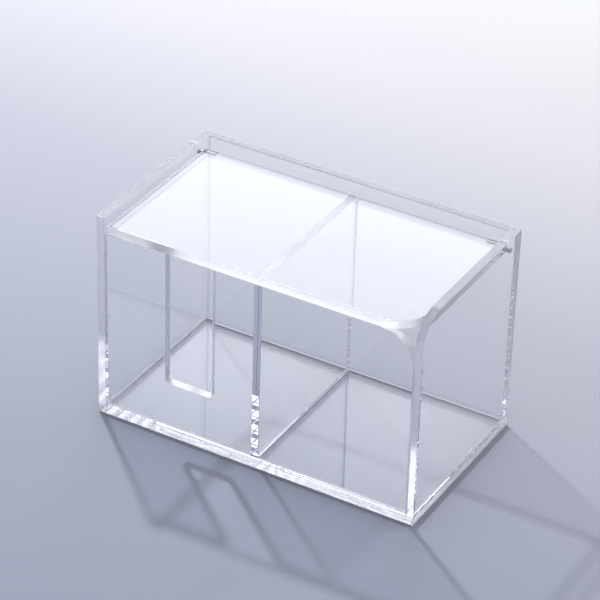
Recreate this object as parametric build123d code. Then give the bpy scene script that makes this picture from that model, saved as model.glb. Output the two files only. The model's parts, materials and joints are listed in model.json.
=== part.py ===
from build123d import *
import math
import os

# Clear acrylic box for cotton pads and make-up: a base, four walls, a divider down the middle
# and a lid that swings on two short steel pins. All flat pieces are cut from one sheet.
# Millimetres. The origin is the middle of the underside, +X is to the right seen from the
# front, +Y is towards the back and +Z is up.

# Outside of the box, and the sheet that every panel is cut from
outer_width = 164.0
outer_depth = 91.0
outer_height = 105.0
sheet = 4.0

# Lid: how deep it lies between the side panels, and the gaps round it when it is closed
lid_recess = 4.0
lid_side_gap = 1.5
lid_seat_gap = 0.2

# Finger notch: one radius rounds the right panel, the front panel and the lid, which meet there
notch_radius = 16.0

# Front slot, through which the left compartment is reached
slot_width = 24.5
slot_from_left_wall = 32.0
slot_sill = 25.0
slot_corner_radius = 2.0

# The divider stops short of the front panel's top edge
divider_drop = 1.0

# Hinge: each pin is cemented into a side panel and runs in a blind bore in the lid's end
hinge_to_back_wall = 5.5
pin_diameter = 2.5
pin_in_lid = 6.0
pin_chamfer = 0.25
pin_running_clearance = 0.05
pin_cement_clearance = 0.02
bore_end_gap = 0.5

# Edges and faces that follow from these sizes
left_wall = -outer_width / 2 + sheet
right_wall = outer_width / 2 - sheet
front_face = -outer_depth / 2
back_face = outer_depth / 2
back_wall = back_face - sheet
inner_width = right_wall - left_wall
wall_height = outer_height - sheet

lid_top = outer_height - lid_recess
lid_bottom = lid_top - sheet
front_panel_top = lid_bottom - lid_seat_gap
hinge_y = back_wall - hinge_to_back_wall
hinge_z = lid_bottom + sheet / 2
lid_left = left_wall + lid_side_gap
lid_right = right_wall - lid_side_gap
pin_radius = pin_diameter / 2
pin_length = sheet + lid_side_gap + pin_in_lid


def span(start, end):
    """Middle and length of the stretch from start to end."""
    return (start + end) / 2, end - start


def block(x_span, y_span, z_span):
    """A plain panel between three pairs of faces."""
    x, width = span(*x_span)
    y, depth = span(*y_span)
    z, height = span(*z_span)
    return Pos(x, y, z) * Box(width, depth, height)


def rod(radius, x_start, x_end):
    """A round bar on the hinge axis."""
    x, length = span(x_start, x_end)
    return Pos(x, hinge_y, hinge_z) * Rot(0, 90, 0) * Cylinder(radius, length)


def base_plate():
    """The floor, which carries the four walls and the divider on its top face."""
    return block((-outer_width / 2, outer_width / 2), (front_face, back_face), (0, sheet))


def side_panel(side):
    """Full-depth end wall with the pin's hole; side is -1 for the left one, 1 for the right."""
    inside = side * (outer_width / 2 - sheet)
    outside = side * outer_width / 2
    faces = sorted((inside, outside))
    panel = block(faces, (front_face, back_face), (sheet, outer_height))
    return panel - rod(pin_radius + pin_cement_clearance, *faces)


def right_side_panel():
    """The right end wall, whose front top corner is rounded to let a finger in."""
    panel = side_panel(1)
    top_edges = panel.edges().filter_by(Axis.X).group_by(Axis.Z)[-1]
    return fillet(top_edges.sort_by(Axis.Y)[0], notch_radius)


def back_panel():
    """Rear wall between the side panels, as tall as they are; the open lid leans on it."""
    return block((left_wall, right_wall), (back_wall, back_face), (sheet, outer_height))


def front_panel():
    """Front wall with its open-topped slot and rounded top right corner; the lid rests on it."""
    x, width = span(left_wall, right_wall)
    z, height = span(sheet, front_panel_top)
    wall = Pos(x, z) * Rectangle(width, height)
    top_corners = wall.vertices().group_by(Axis.Y)[-1]
    wall = fillet(top_corners.sort_by(Axis.X)[-1], notch_radius)

    slot_left = left_wall + slot_from_left_wall
    slot_x, _ = span(slot_left, slot_left + slot_width)
    sill = sheet + slot_sill
    slot_z, slot_height = span(sill, outer_height)
    slot = Pos(slot_x, slot_z) * Rectangle(slot_width, slot_height)
    slot = fillet(slot.vertices().group_by(Axis.Y)[0], slot_corner_radius)

    facing_front = Plane(origin=(0, front_face + sheet, 0), x_dir=(1, 0, 0), z_dir=(0, -1, 0))
    return extrude(facing_front * (wall - slot), sheet)


def divider_panel():
    """Wall down the middle, from the front panel to the back panel."""
    top = front_panel_top - divider_drop
    return block((-sheet / 2, sheet / 2), (front_face + sheet, back_wall), (sheet, top))


def lid_panel():
    """Lid with a half-round rear edge about the pins, a rounded front corner and two bores."""
    y, depth = span(front_face, hinge_y)
    profile = Pos(y, hinge_z) * Rectangle(depth, sheet)
    profile += Pos(hinge_y, hinge_z) * Circle(sheet / 2)
    facing_left = Plane(origin=(lid_left, 0, 0), x_dir=(0, 1, 0), z_dir=(1, 0, 0))
    lid = extrude(facing_left * profile, lid_right - lid_left)

    front_corner = lid.edges().filter_by(Axis.Z).sort_by(Axis.X)[-1]
    lid = fillet(front_corner, notch_radius)

    bore_radius = pin_radius + pin_running_clearance
    bore_depth = pin_in_lid + bore_end_gap
    lid -= rod(bore_radius, lid_left, lid_left + bore_depth)
    lid -= rod(bore_radius, lid_right - bore_depth, lid_right)
    return lid


def hinge_pin(side):
    """Steel pin from a side panel's outer face into the lid; side is -1 for left, 1 for right."""
    outer_end = side * outer_width / 2
    inner_end = outer_end - side * pin_length
    pin = rod(pin_radius, *sorted((outer_end, inner_end)))
    return chamfer(pin.edges().filter_by(GeomType.CIRCLE), pin_chamfer)


def opening_limit():
    """Angle at which the lid's top face meets the back panel's top front edge, in degrees."""
    back = back_wall - hinge_y
    up = outer_height - hinge_z
    reach = math.hypot(back, up)
    return 180 - math.degrees(math.atan2(up, back) + math.asin(sheet / 2 / reach))


parts = {
    "base_plate": base_plate(),
    "left_side_panel": side_panel(-1),
    "right_side_panel": right_side_panel(),
    "back_panel": back_panel(),
    "front_panel": front_panel(),
    "divider_panel": divider_panel(),
    "lid_panel": lid_panel(),
    "left_hinge_pin": hinge_pin(-1),
    "right_hinge_pin": hinge_pin(1),
}

os.makedirs("parts", exist_ok=True)
for node, shape in parts.items():
    export_step(shape, f"parts/{node}.step")

print(f"hinge axis at y {hinge_y:.2f}, z {hinge_z:.2f}")
print(f"lid opens to {opening_limit():.1f} degrees")
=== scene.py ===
import json
import math

import bmesh
import bpy
from mathutils import Matrix, Vector


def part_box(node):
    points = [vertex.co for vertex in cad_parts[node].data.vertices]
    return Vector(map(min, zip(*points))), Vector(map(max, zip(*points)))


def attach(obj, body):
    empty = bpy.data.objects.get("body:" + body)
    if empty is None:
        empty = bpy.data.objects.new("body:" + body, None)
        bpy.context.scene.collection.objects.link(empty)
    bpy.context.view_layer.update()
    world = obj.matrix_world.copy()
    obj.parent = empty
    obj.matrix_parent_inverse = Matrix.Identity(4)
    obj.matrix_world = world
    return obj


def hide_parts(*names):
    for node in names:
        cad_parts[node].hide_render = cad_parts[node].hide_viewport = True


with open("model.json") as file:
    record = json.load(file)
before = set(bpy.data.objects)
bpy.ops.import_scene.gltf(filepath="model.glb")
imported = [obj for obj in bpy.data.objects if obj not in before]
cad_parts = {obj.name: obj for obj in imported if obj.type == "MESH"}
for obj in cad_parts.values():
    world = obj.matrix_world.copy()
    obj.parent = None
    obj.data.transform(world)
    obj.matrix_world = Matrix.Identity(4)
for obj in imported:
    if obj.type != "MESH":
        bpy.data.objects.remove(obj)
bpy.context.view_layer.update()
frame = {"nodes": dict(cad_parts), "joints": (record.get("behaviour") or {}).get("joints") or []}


# Base plate: the floor of the box, one rectangle sawn from clear cast acrylic sheet, its front edge
# sanded, its ends polished and its corners broken. The walls and the divider are cemented to its
# top face, so the strips under them no longer mirror or bend light.
arris = 0.00026
arris_steps = 2
sharp_corner = math.radians(25)
same_bend = math.radians(50)
flat_bias = 3
merge_distance = 1e-7
same_plane = 1e-5
same_face = math.radians(0.5)
sheet_slot, joint_slot, arris_slot, own_slot = range(4)

# A face lies flat on an axis, or nearly square to it, from this share of its normal upwards.
flat_on = 0.999
square_on = 0.99


def node_points(node):
    """All corners of a CAD node's mesh."""
    return [v.co.copy() for v in frame["nodes"][node].data.vertices]


def merged_copy(node):
    """A copy of the node's mesh with its doubles merged and its flat faces made whole."""
    bm = bmesh.new()
    bm.from_mesh(frame["nodes"][node].data)
    bmesh.ops.remove_doubles(bm, verts=bm.verts, dist=merge_distance)
    bmesh.ops.dissolve_limit(bm, angle_limit=same_face, verts=bm.verts, edges=bm.edges)
    for face in bm.faces:
        face.material_index = sheet_slot
    return bm


def contact(node, neighbour):
    """The axis, the plane and the rectangle in which two cemented pieces meet."""
    mine, theirs = node_points(node), node_points(neighbour)
    my_box, their_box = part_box(node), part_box(neighbour)
    for axis in range(3):
        for my_side in (0, 1):
            plane = my_box[my_side][axis]
            if abs(their_box[1 - my_side][axis] - plane) > same_plane:
                continue
            touching = [
                [p for p in points if abs(p[axis] - plane) < same_plane] for points in (mine, theirs)
            ]
            low = [max(min(p[i] for p in points) for points in touching) for i in range(3)]
            high = [min(max(p[i] for p in points) for points in touching) for i in range(3)]
            return axis, plane, low, high
    raise ValueError(f"{node} doesn't touch {neighbour}")


def mark_rectangle(bm, axis, plane, low, high, inset, material):
    """Cuts a rectangle into the flat face it lies on, inset all round, and gives it a material."""

    def on_plane():
        return [
            f for f in bm.faces
            if abs(f.normal[axis]) > flat_on and abs(f.calc_center_median()[axis] - plane) < same_plane
        ]

    face_points = [v.co for f in on_plane() for v in f.verts]
    for i in range(3):
        if i == axis:
            continue
        start = min(p[i] for p in face_points)
        end = max(p[i] for p in face_points)
        for limit, inward in ((low[i], inset), (high[i], -inset)):
            if not start + same_plane < limit < end - same_plane:
                continue
            faces = on_plane()
            around = {e for f in faces for e in f.edges} | {v for f in faces for v in f.verts}
            point, normal = Vector((0, 0, 0)), Vector((0, 0, 0))
            point[i], normal[i] = limit + inward, 1
            bmesh.ops.bisect_plane(
                bm, geom=faces + list(around), dist=merge_distance, plane_co=point, plane_no=normal
            )
    for f in on_plane():
        middle = f.calc_center_bounds()
        if all(low[i] < middle[i] < high[i] for i in range(3) if i != axis):
            f.material_index = material


def cut_sheet(node, cemented_to):
    """The piece as it is cut from the sheet, with its cemented joints marked."""
    bm = merged_copy(node)
    for neighbour in cemented_to:
        mark_rectangle(bm, *contact(node, neighbour), inset=arris, material=joint_slot)
    return bm


def round_edges(bm, edges, radius, steps, material):
    """Rounds these edges of a sheet over a radius, and gives the new strip its finish."""
    bmesh.ops.bevel(
        bm, geom=edges, offset=radius, offset_type="OFFSET", segments=steps, profile=0.5,
        affect="EDGES", material=material, clamp_overlap=True,
    )


def shade_round(mesh):
    """Shades the rounded strips smooth, and keeps the flat faces beside them flat.

    A corner's normal is the mean of the faces that bend little there, and large ones count most.
    """
    faces_at = [[] for _ in mesh.vertices]
    for face in mesh.polygons:
        for v in face.vertices:
            faces_at[v].append(face)
    normals = []
    for face in mesh.polygons:
        for v in face.vertices:
            bend = [f for f in faces_at[v] if f.normal.angle(face.normal) < same_bend]
            normals.append(sum((f.normal * f.area**flat_bias for f in bend), Vector()).normalized())
    mesh.shade_smooth()
    mesh.normals_split_custom_set(normals)


def hand_over(bm, name, node, finishes, body):
    """Makes the finished mesh a piece of the box, in the place of its CAD node."""
    mesh = bpy.data.meshes.new(name)
    bm.to_mesh(mesh)
    bm.free()
    shade_round(mesh)
    for finish in finishes:
        mesh.materials.append(finish)
    piece = bpy.data.objects.new(name, mesh)
    bpy.context.scene.collection.objects.link(piece)
    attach(piece, body)
    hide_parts(node)


def finish_sheet(bm, name, node, thickness_axis, finishes, edge_of, body, own_corners=()):
    """Sorts the cut faces by their finish, breaks the corners and hands the piece over.

    own_corners says which corners have a finish of their own, with its radius, steps and finish.
    """
    finishes = list(finishes)
    for face in bm.faces:
        if face.material_index == joint_slot or abs(face.normal[thickness_axis]) > square_on:
            continue
        finish = edge_of(face)
        if finish not in finishes:
            finishes.append(finish)
        face.material_index = finishes.index(finish)

    def sharp():
        return [e for e in bm.edges if e.calc_face_angle(0) > sharp_corner]

    if own_corners:
        is_one, radius, steps, finish = own_corners
        finishes.append(finish)
        round_edges(bm, [e for e in sharp() if is_one(e)], radius, steps, finishes.index(finish))
    round_edges(bm, sharp(), arris, arris_steps, arris_slot)
    hand_over(bm, name, node, finishes, body)


def new_material(name):
    """An empty node tree with its output; returns the material, its tree and the output."""
    material = bpy.data.materials.new(name)
    material.use_nodes = True
    tree = material.node_tree
    tree.nodes.clear()
    return material, tree, tree.nodes.new("ShaderNodeOutputMaterial")


def noise(tree, scale, detail=1, stretch=None):
    """A noise in the piece's own coordinates, drawn out along an axis where stretch says so."""
    place = tree.nodes.new("ShaderNodeTexCoord").outputs["Object"]
    if stretch:
        mapping = tree.nodes.new("ShaderNodeMapping")
        mapping.inputs["Scale"].default_value = stretch
        tree.links.new(place, mapping.inputs["Vector"])
        place = mapping.outputs["Vector"]
    texture = tree.nodes.new("ShaderNodeTexNoise")
    texture.inputs["Scale"].default_value = scale
    texture.inputs["Detail"].default_value = detail
    tree.links.new(place, texture.inputs["Vector"])
    return texture.outputs["Fac"]


def relief(tree, shader, height, depth, strength=1):
    """Gives a shader relief from a height, depth metres deep."""
    bump = tree.nodes.new("ShaderNodeBump")
    bump.inputs["Strength"].default_value = strength
    bump.inputs["Distance"].default_value = depth
    tree.links.new(height, bump.inputs["Height"])
    tree.links.new(bump.outputs["Normal"], shader.inputs["Normal"])


def colour_ramp(tree, value, stops):
    """A colour ramp over a value, from a list of positions and colours."""
    ramp = tree.nodes.new("ShaderNodeValToRGB")
    while len(ramp.color_ramp.elements) < len(stops):
        ramp.color_ramp.elements.new(0.5)
    for element, (position, colour) in zip(ramp.color_ramp.elements, stops):
        element.position = position
        element.color = (*colour, 1)
    tree.links.new(value, ramp.inputs["Fac"])
    return ramp.outputs["Color"]


acrylic_ior = 1.49
sheet_tint = (0.995, 0.997, 1.0)


def clear_glass(tree, tint, roughness):
    """The clear acrylic shader itself."""
    glass = tree.nodes.new("ShaderNodeBsdfPrincipled")
    glass.inputs["Base Color"].default_value = (*tint, 1)
    glass.inputs["Roughness"].default_value = roughness
    glass.inputs["IOR"].default_value = acrylic_ior
    glass.inputs["Transmission Weight"].default_value = 1
    return glass


# A clear face mirrors more the flatter it is seen, by this power of the slant.
mirror_rise = 5


def lamps_pass(tree, shader, output, passes):
    """Lets lamps and the room's soft light through the piece unbent, less what its face mirrors."""
    path = tree.nodes.new("ShaderNodeLightPath")
    slant = tree.nodes.new("ShaderNodeLayerWeight")
    slant.inputs["Blend"].default_value = 0.5
    mirrored = tree.nodes.new("ShaderNodeMath")
    mirrored.operation = "POWER"
    tree.links.new(slant.outputs["Facing"], mirrored.inputs[0])
    mirrored.inputs[1].default_value = mirror_rise
    dim = tree.nodes.new("ShaderNodeMix")
    dim.data_type = "RGBA"
    dim.inputs["A"].default_value = (*passes, 1)
    dim.inputs["B"].default_value = (0, 0, 0, 1)
    tree.links.new(mirrored.outputs[0], dim.inputs["Factor"])
    through = tree.nodes.new("ShaderNodeBsdfTransparent")
    tree.links.new(dim.outputs["Result"], through.inputs["Color"])
    for kind in ("Is Shadow Ray", "Is Diffuse Ray"):
        mix = tree.nodes.new("ShaderNodeMixShader")
        tree.links.new(path.outputs[kind], mix.inputs[0])
        tree.links.new(shader, mix.inputs[1])
        tree.links.new(through.outputs[0], mix.inputs[2])
        shader = mix.outputs[0]
    tree.links.new(shader, output.inputs["Surface"])


wave_scale = 45
wave_depth = 0.00001
wave_strength = 0.15


def sheet_material(name, passes):
    """The cast face of the sheet: clear, with the faint long waves of cast acrylic."""
    material, tree, output = new_material(name)
    glass = clear_glass(tree, sheet_tint, roughness=0)
    relief(tree, glass, noise(tree, wave_scale), wave_depth, wave_strength)
    lamps_pass(tree, glass.outputs[0], output, passes)
    return material


tool_mark_scale = 2200


def edge_material(
    name, roughness, marks, clear=1.0, tint=(0.98, 0.98, 1.0), passes=(0.1, 0.1, 0.12), grain=None,
    glint=0.0,
):
    """A cut edge: marks of the tool, in metres, break it up, and what isn't clear is frosted."""
    material, tree, output = new_material(name)
    glass = clear_glass(tree, tint, roughness)
    glass.inputs["Transmission Weight"].default_value = clear
    glass.inputs["Metallic"].default_value = glint
    relief(tree, glass, noise(tree, tool_mark_scale, stretch=grain), marks)
    lamps_pass(tree, glass.outputs[0], output, passes)
    return material


bubble_scale = 900
bubble_rim = [(0.76, (0, 0, 0)), (0.78, (1, 1, 1))]
bubble_tint = (0.95, 0.95, 1.0)
milk_tint = (0.88, 0.89, 0.95)


def joint_material(name, colour, milky, passes):
    """Solvent cement between two pieces: it joins them clear, apart from air and a little milk."""
    material, tree, output = new_material(name)
    open_joint = tree.nodes.new("ShaderNodeBsdfTransparent")
    open_joint.inputs["Color"].default_value = (*colour, 1)
    glass = clear_glass(tree, bubble_tint, roughness=0)
    bubbles = colour_ramp(tree, noise(tree, bubble_scale), bubble_rim)
    airy = tree.nodes.new("ShaderNodeMixShader")
    tree.links.new(bubbles, airy.inputs[0])
    tree.links.new(open_joint.outputs[0], airy.inputs[1])
    tree.links.new(glass.outputs[0], airy.inputs[2])
    milk = tree.nodes.new("ShaderNodeBsdfDiffuse")
    milk.inputs["Color"].default_value = (*milk_tint, 1)
    cloudy = tree.nodes.new("ShaderNodeMixShader")
    cloudy.inputs[0].default_value = milky
    tree.links.new(airy.outputs[0], cloudy.inputs[1])
    tree.links.new(milk.outputs[0], cloudy.inputs[2])
    lamps_pass(tree, cloudy.outputs[0], output, passes)
    return material


base_face = sheet_material("clear base sheet", passes=(0.985, 0.99, 1.0))
cement = joint_material(
    "cement joint", colour=(0.985, 0.985, 1.0), milky=0.03, passes=(0.95, 0.95, 0.96)
)
broken_corner = edge_material(
    "broken corner", roughness=0.1, marks=0.000006, clear=0.4, passes=(0.6, 0.6, 0.65)
)
polished_edge = edge_material(
    "polished edge", roughness=0.3, marks=0.000003, passes=(0.22, 0.22, 0.25)
)
sanded_edge = edge_material(
    "sanded front edge", roughness=0.15, marks=0.00004, tint=(0.5, 0.51, 0.54),
    passes=(0.15, 0.15, 0.17), grain=(0.03, 1, 1),
)
sawn_edge = edge_material("sawn edge", roughness=0.15, marks=0.00002)

# The underside mirrors part of the light that comes down inside a wall, so less of it reaches the
# table there. The offset is how far light from the lamp moves while it crosses the base.
under_wall = sheet_material("base under a wall", passes=(0.58, 0.59, 0.64))
under_wall_offset = Vector((0.0015, -0.0011, 0))
base_carries = ("left_side_panel", "right_side_panel", "back_panel", "front_panel", "divider_panel")


def base_edge(face):
    """The finish of one cut face of the base."""
    if face.normal.y > square_on:
        return sawn_edge
    return sanded_edge if face.normal.y < -square_on else polished_edge


base = cut_sheet("base_plate", base_carries)
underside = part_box("base_plate")[0][2]
for wall in base_carries:
    axis, _, low, high = contact("base_plate", wall)
    low, high = Vector(low) + under_wall_offset, Vector(high) + under_wall_offset
    mark_rectangle(base, axis, underside, low, high, inset=0, material=own_slot)
finish_sheet(
    base, "base_sheet", "base_plate", 2, (base_face, cement, broken_corner, under_wall),
    base_edge, "case",
)


# Side panels: the two full-depth end walls, sawn from the same sheet and cemented to the base. The
# right one is rounded at its front top corner. Their top edges and their corners are scraped by
# hand, and a round hole is drilled through each for its pin.
side_face = sheet_material("clear side sheet", passes=(0.97, 0.97, 0.985))
top_edge = edge_material(
    "scraped top edge", roughness=0.2, marks=0.000002, clear=0.8, tint=(0.95, 0.96, 1.0),
    passes=(0.3, 0.3, 0.33),
)
side_rear_edge = edge_material(
    "side rear edge", roughness=0.3, marks=0.000005, tint=(0.8, 0.81, 0.88),
    passes=(0.7, 0.7, 0.74),
)
side_corner = edge_material(
    "scraped side corner", roughness=0.3, marks=0.000006, clear=0.15, passes=(0.6, 0.6, 0.65),
    glint=0.2,
)
hinge = Vector(frame["joints"][0]["pos_m"])
pin_zone = 0.002
scraped_rise = 0.4


def frosted_material(name, share, translucent, colour, passes):
    """Clear acrylic under a white layer that hides a share of it and is partly translucent."""
    material, tree, output = new_material(name)
    glass = clear_glass(tree, sheet_tint, roughness=0)
    layer = tree.nodes.new("ShaderNodeMixShader")
    layer.inputs[0].default_value = translucent
    for socket, kind in enumerate(("ShaderNodeBsdfDiffuse", "ShaderNodeBsdfTranslucent"), 1):
        white = tree.nodes.new(kind)
        white.inputs["Color"].default_value = (*colour, 1)
        tree.links.new(white.outputs[0], layer.inputs[socket])
    frosted = tree.nodes.new("ShaderNodeMixShader")
    frosted.inputs[0].default_value = share
    tree.links.new(glass.outputs[0], frosted.inputs[1])
    tree.links.new(layer.outputs[0], frosted.inputs[2])
    lamps_pass(tree, frosted.outputs[0], output, passes)
    return material


drilled_wall = frosted_material(
    "drilled wall", share=0.97, translucent=0.5, colour=(0.97, 0.97, 1.0), passes=(0.5, 0.5, 0.53)
)

# The foot of each wall's inner face carries a thin film of cement made white: painted highlight for
# the bright line along that foot.
highlight_film_height = 0.0011
cement_painted_highlight = frosted_material(
    "cement with painted highlight", share=0.9, translucent=0.75, colour=(0.97, 0.97, 1.0),
    passes=(0.85, 0.85, 0.88),
)


def cut_wall(node, cemented_to, axis, sides):
    """The wall as cut, with the cement film at the foot of its inner faces marked white, as painted
    highlight.
    """
    bm = cut_sheet(node, cemented_to)
    low, high = (Vector(corner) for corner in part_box(node))
    high.z = low.z + highlight_film_height
    for side in sides:
        mark_rectangle(bm, axis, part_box(node)[side][axis], low, high, inset=0, material=own_slot)
    return bm


def side_edge(face):
    """The finish of one cut face of a side panel."""
    if (face.calc_center_median() - hinge).yz.length < pin_zone:
        return drilled_wall
    if face.normal.y > square_on:
        return side_rear_edge
    return top_edge if face.normal.z > scraped_rise else polished_edge


for side, inside in (("left", 1), ("right", 0)):
    node = f"{side}_side_panel"
    finish_sheet(
        cut_wall(node, ("base_plate", "front_panel", "back_panel"), 0, (inside,)),
        f"{side}_side_sheet", node, 0, (side_face, cement, side_corner, cement_painted_highlight), side_edge,
        "case",
    )


# Back panel: the rear wall of the same sheet, cemented between the side panels and to the base and
# the divider. Its top edge is scraped smooth, because the open lid leans on it. Its corners that run
# level bend the room's light away from the eye, and their finish is tinted dark as painted shade.
back_face = sheet_material("clear back sheet", passes=(0.985, 0.985, 0.99))
back_top_edge = edge_material(
    "back top edge", roughness=0.2, marks=0.000002, clear=0.82, tint=(0.95, 0.96, 1.0),
    passes=(0.85, 0.85, 0.88),
)
# Painted shade: the level corners are tinted dark for the room's light that they bend away from the
# eye.
painted_shade_corner = edge_material(
    "corner with painted shade", roughness=0.1, marks=0.000006, clear=0.8, tint=(0.25, 0.26, 0.34),
    passes=(0.6, 0.6, 0.65),
)


def is_level(edge):
    """Whether an edge runs level, as those at the foot and at the top of the panel do."""
    return abs(edge.verts[0].co.z - edge.verts[1].co.z) < same_plane


back_wall = cut_wall(
    "back_panel", ("base_plate", "left_side_panel", "right_side_panel", "divider_panel"), 1, (0,)
)
finish_sheet(
    back_wall, "back_sheet", "back_panel", 1, (back_face, cement, broken_corner, cement_painted_highlight),
    lambda face: back_top_edge, "case",
    own_corners=(is_level, arris, arris_steps, painted_shade_corner),
)


# Front panel: the lower front wall, cemented between the side panels with joints that look a little
# greyer. Its rounded top corner and its slot are routed, and the slot is then flame-polished, which
# has melted its right rear corner round. That rounding is tinted nearly black, as painted shade for
# the dark line it shows. The sill is left frosted.
front_face = sheet_material("clear front sheet", passes=(0.89, 0.9, 0.94))
front_cement = joint_material(
    "front cement", colour=(0.8, 0.8, 0.87), milky=0.03, passes=(0.9, 0.9, 0.91)
)
slot_side = edge_material(
    "slot side", roughness=0.15, marks=0.000004, clear=0.75, tint=(0.96, 0.965, 1.0)
)
slot_sill = edge_material(
    "slot sill", roughness=0.3, marks=0.000004, clear=0.1, tint=(0.99, 0.99, 1.0)
)
# Painted shade: the melted rounding at the slot's right rear corner is tinted nearly black for the
# dark line it shows.
painted_shade_melted_corner = edge_material(
    "melted corner with painted shade", roughness=0.02, marks=0.000004, clear=0.6, tint=(0.06, 0.065, 0.1)
)
notch_edge = edge_material(
    "routed notch", roughness=0.3, marks=0.00001, clear=0.05, tint=(0.99, 0.99, 1.0)
)
melt_radius = 0.001
melt_steps = 6
melted_side = 0.9
sill_rise = 0.2
left_corner_rise = 0.7
outline_margin = 0.006
front_low, front_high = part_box("front_panel")


def in_slot(face):
    """Whether a face lies well inside the panel's outline, as only those of the slot do."""
    middle = face.calc_center_median()
    return all(
        front_low[i] + outline_margin < middle[i] < front_high[i] - outline_margin for i in (0, 2)
    )


def front_edge(face):
    """The finish of one cut face of the front panel."""
    if in_slot(face):
        is_sill = face.normal.z > max(sill_rise, left_corner_rise * face.normal.x)
        return slot_sill if is_sill else slot_side
    return top_edge if face.normal.z > flat_on else notch_edge


def is_melted(edge):
    """Whether an edge runs up the right side of the slot at the back."""
    at_back = all(v.co.y > front_high[1] - same_plane for v in edge.verts)
    return at_back and any(f.normal.x < -melted_side and in_slot(f) for f in edge.link_faces)


front_wall = cut_wall(
    "front_panel", ("base_plate", "left_side_panel", "right_side_panel", "divider_panel"), 1, (1,)
)
finish_sheet(
    front_wall, "front_sheet", "front_panel", 1,
    (front_face, front_cement, broken_corner, cement_painted_highlight), front_edge, "case",
    own_corners=(is_melted, melt_radius, melt_steps, painted_shade_melted_corner),
)


# Divider: the wall down the middle, of the same sheet and a little lower than the front panel. It
# is cemented to the base and at both ends. Its front joint looks dark, and its corners, apart from
# those of the top edge, are tinted dark as painted shade.
divider_face = sheet_material("clear divider sheet", passes=(0.945, 0.945, 0.955))
divider_cement = joint_material(
    "divider cement", colour=(0.84, 0.84, 0.9), milky=0.03, passes=(0.3, 0.3, 0.33)
)
divider_top = edge_material(
    "divider top edge", roughness=0.2, marks=0.000002, clear=0.92, tint=(0.8, 0.81, 0.87),
    passes=(0.8, 0.8, 0.83),
)
divider_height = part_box("divider_panel")[1][2]


def divider_edge(face):
    """The finish of one cut face of the divider."""
    return divider_cement if face.normal.y < -square_on else divider_top


def is_below_top(edge):
    """Whether an edge of the divider isn't one of those along its top."""
    return any(v.co.z < divider_height - same_plane for v in edge.verts)


finish_sheet(
    cut_wall("divider_panel", ("base_plate", "back_panel"), 0, (0, 1)), "divider_sheet",
    "divider_panel", 0, (divider_face, cement, broken_corner, cement_painted_highlight), divider_edge,
    "case", own_corners=(is_below_top, arris, arris_steps, painted_shade_corner),
)


# Hinge pins: two short pieces of ground steel rod, chamfered in the lathe. Each is cemented into the
# hole of its side panel and turns in a blind bore in the lid's end.
pin_faces_round = 64
chamfer = 0.00025
soft = 0.00004
softer = 0.000012
turning_grain = (14000, 600, 600)
turning_depth = 0.000004
steel_tones = [(0.35, (0.3, 0.305, 0.33)), (0.65, (0.66, 0.66, 0.69))]

steel, tree, output = new_material("turned steel")
metal = tree.nodes.new("ShaderNodeBsdfPrincipled")
metal.inputs["Metallic"].default_value = 1
metal.inputs["Roughness"].default_value = 0.3
turning = noise(tree, 1, detail=3, stretch=turning_grain)
tree.links.new(colour_ramp(tree, turning, steel_tones), metal.inputs["Base Color"])
relief(tree, metal, turning, turning_depth)
tree.links.new(metal.outputs[0], output.inputs["Surface"])

for side in ("left", "right"):
    node = f"{side}_hinge_pin"
    low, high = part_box(node)
    radius = (high[2] - low[2]) / 2
    end_profile = [
        (0, 0),
        (0, radius - chamfer - soft),
        (softer, radius - chamfer - softer),
        (soft, radius - chamfer + soft),
        (chamfer - soft, radius - soft),
        (chamfer - softer, radius - softer),
        (chamfer + soft, radius),
    ]
    profile = [(low[0] + x, r) for x, r in end_profile]
    profile += [(high[0] - x, r) for x, r in reversed(end_profile)]
    bm = bmesh.new()
    line = [bm.verts.new((x, hinge.y + r, hinge.z)) for x, r in profile]
    edges = [bm.edges.new(pair) for pair in zip(line, line[1:])]
    bmesh.ops.spin(
        bm, geom=line + edges, cent=(0, hinge.y, hinge.z), axis=(1, 0, 0), angle=math.tau,
        steps=pin_faces_round, use_merge=True,
    )
    bmesh.ops.remove_doubles(bm, verts=bm.verts, dist=merge_distance)
    bmesh.ops.recalc_face_normals(bm, faces=bm.faces)
    hand_over(bm, f"{side}_turned_pin", node, (steel,), "case")


# Lid: a plate of the same sheet with a routed half-round rear edge, drilled at both ends for the
# pins that carry it. Its front edge and its rounded corner are sanded, its ends left as sawn.
lid_face = sheet_material("clear lid sheet", passes=(0.955, 0.955, 0.97))
lid_end_edge = edge_material(
    "lid end edge", roughness=0.1, marks=0.000005, clear=0.85, tint=(0.6, 0.61, 0.7)
)
routed_edge = edge_material("routed edge", roughness=0.15, marks=0.00002)
lid_front_edge = edge_material("sanded lid edge", roughness=0.3, marks=0.00002, clear=0.93)
rear_round_zone = 0.003


def lid_edge(face):
    """The finish of one cut face of the lid."""
    if abs(face.normal.x) > square_on:
        return lid_end_edge
    from_hinge = (face.calc_center_median() - hinge).yz
    if from_hinge.dot(face.normal.yz) < 0 and from_hinge.length < pin_zone:
        return drilled_wall
    return routed_edge if from_hinge.length < rear_round_zone else lid_front_edge


finish_sheet(
    cut_sheet("lid_panel", ()), "lid_sheet", "lid_panel", 2, (lid_face, cement, broken_corner),
    lid_edge, "lid",
)


# Floor: the pale paper sweep that the box stands on. Its tones are painted shade: darker towards the
# camera and a little darker to the left, where less of the studio light falls. Its tones run from
# near the camera to far behind the box.
floor_half = 4.0
floor_slant = 0.12
floor_start = -0.2
floor_end = 0.45
# Painted shade: the floor's colour stands in for the fall of the light across it.
painted_floor_shade = [
    (0, (0.35, 0.38, 0.45)), (0.25, (0.41, 0.43, 0.49)), (0.5, (0.49, 0.5, 0.55)),
    (0.75, (0.67, 0.66, 0.67)), (1, (0.77, 0.77, 0.74)),
]
floor_gap = 0.0001
fibre_scale = 2500
fibre_depth = 0.00003
fibre_strength = 0.5

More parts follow.
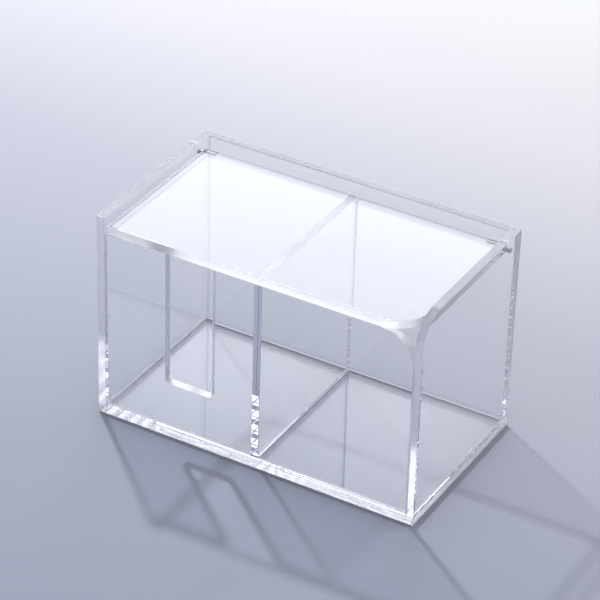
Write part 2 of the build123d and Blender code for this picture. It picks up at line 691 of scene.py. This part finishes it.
floor_mesh = bpy.data.meshes.new("floor")
floor_corners = [
    (x * floor_half, y * floor_half, -floor_gap) for x, y in ((-1, -1), (1, -1), (1, 1), (-1, 1))
]
floor_mesh.from_pydata(floor_corners, [], [(0, 1, 2, 3)])
floor = bpy.data.objects.new("floor", floor_mesh)
bpy.context.scene.collection.objects.link(floor)

paper, tree, output = new_material("paper")
matt = tree.nodes.new("ShaderNodeBsdfDiffuse")
along = tree.nodes.new("ShaderNodeVectorMath")
along.operation = "DOT_PRODUCT"
along.inputs[1].default_value = (floor_slant, 1, 0)
tree.links.new(tree.nodes.new("ShaderNodeTexCoord").outputs["Object"], along.inputs[0])
share = tree.nodes.new("ShaderNodeMapRange")
share.inputs["From Min"].default_value = floor_start
share.inputs["From Max"].default_value = floor_end
tree.links.new(along.outputs["Value"], share.inputs["Value"])
tree.links.new(colour_ramp(tree, share.outputs["Result"], painted_floor_shade), matt.inputs["Color"])
relief(tree, matt, noise(tree, fibre_scale, detail=2), fibre_depth, fibre_strength)
tree.links.new(matt.outputs[0], output.inputs["Surface"])
floor_mesh.materials.append(paper)


# Lamp: one small lamp behind the box on the left, which draws the crisp shadows of the edges.
lamp_place = Vector((-0.632, 0.455, 0.955))
lamp_data = bpy.data.lights.new("key lamp", "AREA")
lamp_data.shape = "DISK"
lamp_data.size = 0.06
lamp_data.energy = 8.8
lamp_data.color = (0.96, 0.985, 1.06)
lamp = bpy.data.objects.new("key lamp", lamp_data)
lamp.location = lamp_place
lamp.rotation_euler = (-lamp_place).to_track_quat("-Z", "Y").to_euler()
bpy.context.scene.collection.objects.link(lamp)


# Room: an even pale studio with two softboxes behind the box. The lid and the base mirror the wide
# one on the left, and the front edges carry light from the narrow one on the right. Their places
# are given as slopes: sideways and up, per metre back.
softbox_up = [
    (0.0, 0.0), (0.22, 0.0), (0.3, 0.95), (0.62, 1.0), (0.7, 0.96), (0.735, 0.9), (0.765, 0.92),
    (0.8, 0.8), (0.84, 0.6), (0.9, 0.45), (1.0, 0.25), (1.2, 0.05), (1.4, 0.0),
]
softbox_side = [
    (-1.6, 0.0), (-1.05, 0.0), (-0.95, 1.0), (-0.25, 1.0), (-0.1, 0.0), (0.45, 0.0), (0.53, 0.9),
    (0.72, 0.9), (0.85, 0.0), (1.6, 0.0),
]
softbox_strength = 2.2
room_brightest_side = (-0.2, 0.9, 0.3)
room_levels = [(-1.0, 0.45), (0.0, 0.5), (0.9, 0.8), (1.0, 0.8)]
room_tone = (0.975, 0.985, 1.05)
least_back = 0.02

room = bpy.data.worlds.new("studio")
bpy.context.scene.world = room
room.use_nodes = True
tree = room.node_tree
tree.nodes.clear()
direction = tree.nodes.new("ShaderNodeTexCoord").outputs["Generated"]


def reckon(operation, *values):
    """One step of arithmetic on numbers and sockets of the room's node tree."""
    node = tree.nodes.new("ShaderNodeMath")
    node.operation = operation
    for socket, value in zip(node.inputs, values):
        if isinstance(value, float):
            socket.default_value = value
        else:
            tree.links.new(value, socket)
    return node.outputs[0]


def levels(value, stops):
    """Grey levels over a value, from a list of values and levels."""
    low, high = stops[0][0], stops[-1][0]
    share = tree.nodes.new("ShaderNodeMapRange")
    share.inputs["From Min"].default_value = low
    share.inputs["From Max"].default_value = high
    tree.links.new(value, share.inputs["Value"])
    greys = [((position - low) / (high - low), (grey, grey, grey)) for position, grey in stops]
    return colour_ramp(tree, share.outputs["Result"], greys)


parts = tree.nodes.new("ShaderNodeSeparateXYZ")
tree.links.new(direction, parts.inputs[0])
behind = reckon("MAXIMUM", parts.outputs["Y"], least_back)
up_level = levels(reckon("DIVIDE", parts.outputs["Z"], behind), softbox_up)
side_level = levels(reckon("DIVIDE", parts.outputs["X"], behind), softbox_side)
softbox = reckon("MULTIPLY", reckon("MULTIPLY", up_level, side_level), softbox_strength)
facing = tree.nodes.new("ShaderNodeVectorMath")
facing.operation = "DOT_PRODUCT"
facing.inputs[1].default_value = room_brightest_side
tree.links.new(direction, facing.inputs[0])
level = reckon("ADD", softbox, levels(facing.outputs["Value"], room_levels))
tone = tree.nodes.new("ShaderNodeVectorMath")
tone.operation = "SCALE"
tone.inputs[0].default_value = room_tone
tree.links.new(level, tone.inputs["Scale"])
background = tree.nodes.new("ShaderNodeBackground")
tree.links.new(tone.outputs[0], background.inputs["Color"])
output = tree.nodes.new("ShaderNodeOutputWorld")
tree.links.new(background.outputs[0], output.inputs["Surface"])


# Camera: a long lens above the box's front right corner, at the photograph's viewing angle.
azimuth, elevation, roll = math.radians(29.329), math.radians(32.766), math.radians(1.757)
camera_place = Vector((0.53763, -0.96287, 0.77395))
sensor_width = 36.0
focal_pixels, image_pixels = 2926.9, 600

ahead = Vector((
    -math.sin(azimuth) * math.cos(elevation),
    math.cos(azimuth) * math.cos(elevation),
    -math.sin(elevation),
))
level_right = Vector((math.cos(azimuth), math.sin(azimuth), 0))
level_up = level_right.cross(ahead)
camera_right = math.cos(roll) * level_right + math.sin(roll) * level_up
camera_up = math.cos(roll) * level_up - math.sin(roll) * level_right
turn = Matrix((camera_right, camera_up, -ahead)).transposed().to_4x4()
camera_data = bpy.data.cameras.new("camera")
camera_data.sensor_width = sensor_width
camera_data.lens = focal_pixels / image_pixels * sensor_width
camera_data.clip_start = 0.01
camera_data.clip_end = 100
camera = bpy.data.objects.new("camera", camera_data)
camera.matrix_world = Matrix.Translation(camera_place) @ turn
bpy.context.scene.collection.objects.link(camera)
bpy.context.scene.camera = camera

# Light crosses many clear faces one behind the other, so its paths are allowed to be long.
scene = bpy.context.scene
scene.view_settings.view_transform = "Standard"
scene.cycles.max_bounces = 48
scene.cycles.transmission_bounces = 48
scene.cycles.glossy_bounces = 32
scene.cycles.transparent_max_bounces = 48
